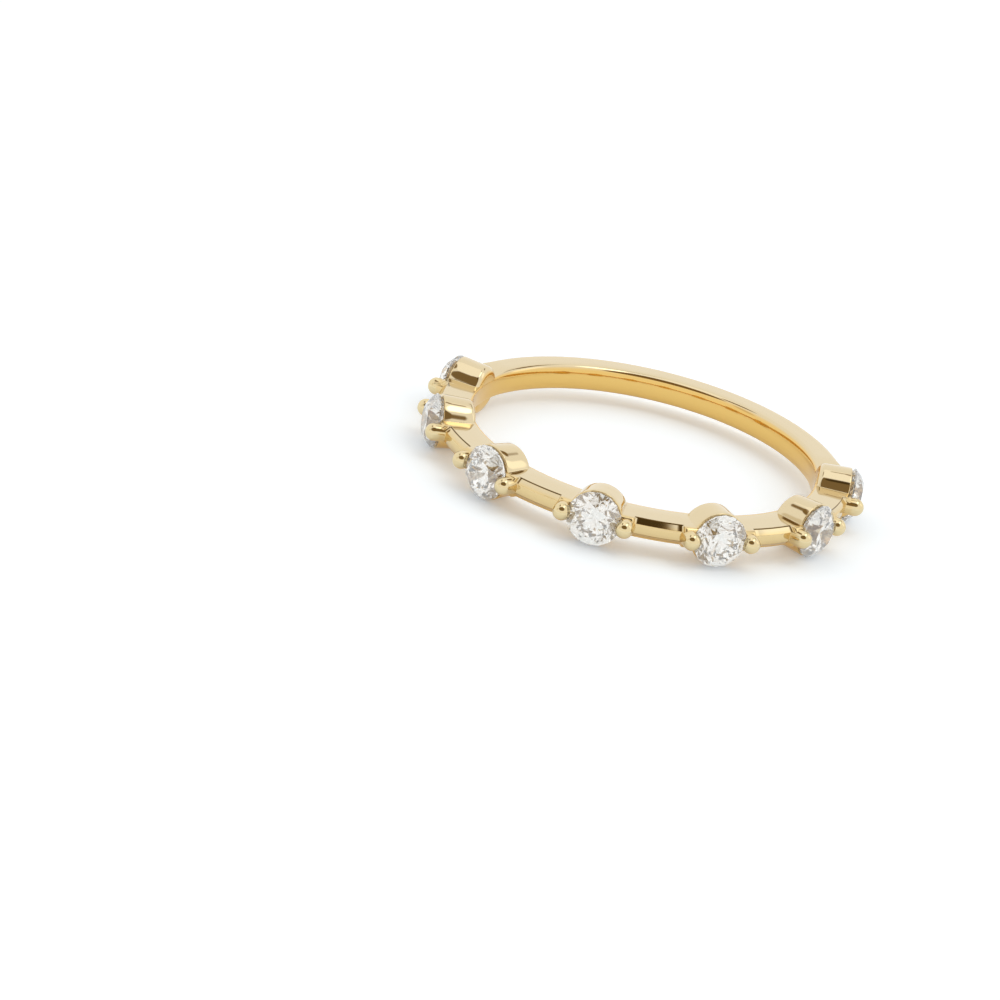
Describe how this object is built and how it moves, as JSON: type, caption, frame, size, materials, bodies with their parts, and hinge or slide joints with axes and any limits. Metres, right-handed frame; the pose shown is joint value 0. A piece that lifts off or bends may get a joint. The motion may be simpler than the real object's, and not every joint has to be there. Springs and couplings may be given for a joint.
{
  "type": "stackable ring",
  "caption": "Slim stackable finger ring: round brilliant stones in radial barrel settings along the front half, joined by straight-cut bars, with a plain rounded shank behind.",
  "frame": {"origin": "the middle of the ring's footprint, on the surface that it lies on", "axes": "+Z along the finger hole's axis, upwards from that surface; the middle stone faces -Y and the plain shank is at +Y"},
  "size_m": [0.0222, 0.021, 0.0026],
  "materials": {
    "gold": "polished yellow gold",
    "stone": "clear, faceted and polished"
  },
  "bodies": {
    "root": {"ring_body": "gold", "stone_1": "stone", "stone_2": "stone", "stone_3": "stone", "stone_4": "stone", "stone_5": "stone", "stone_6": "stone", "stone_7": "stone"}
  },
  "joints": []
}
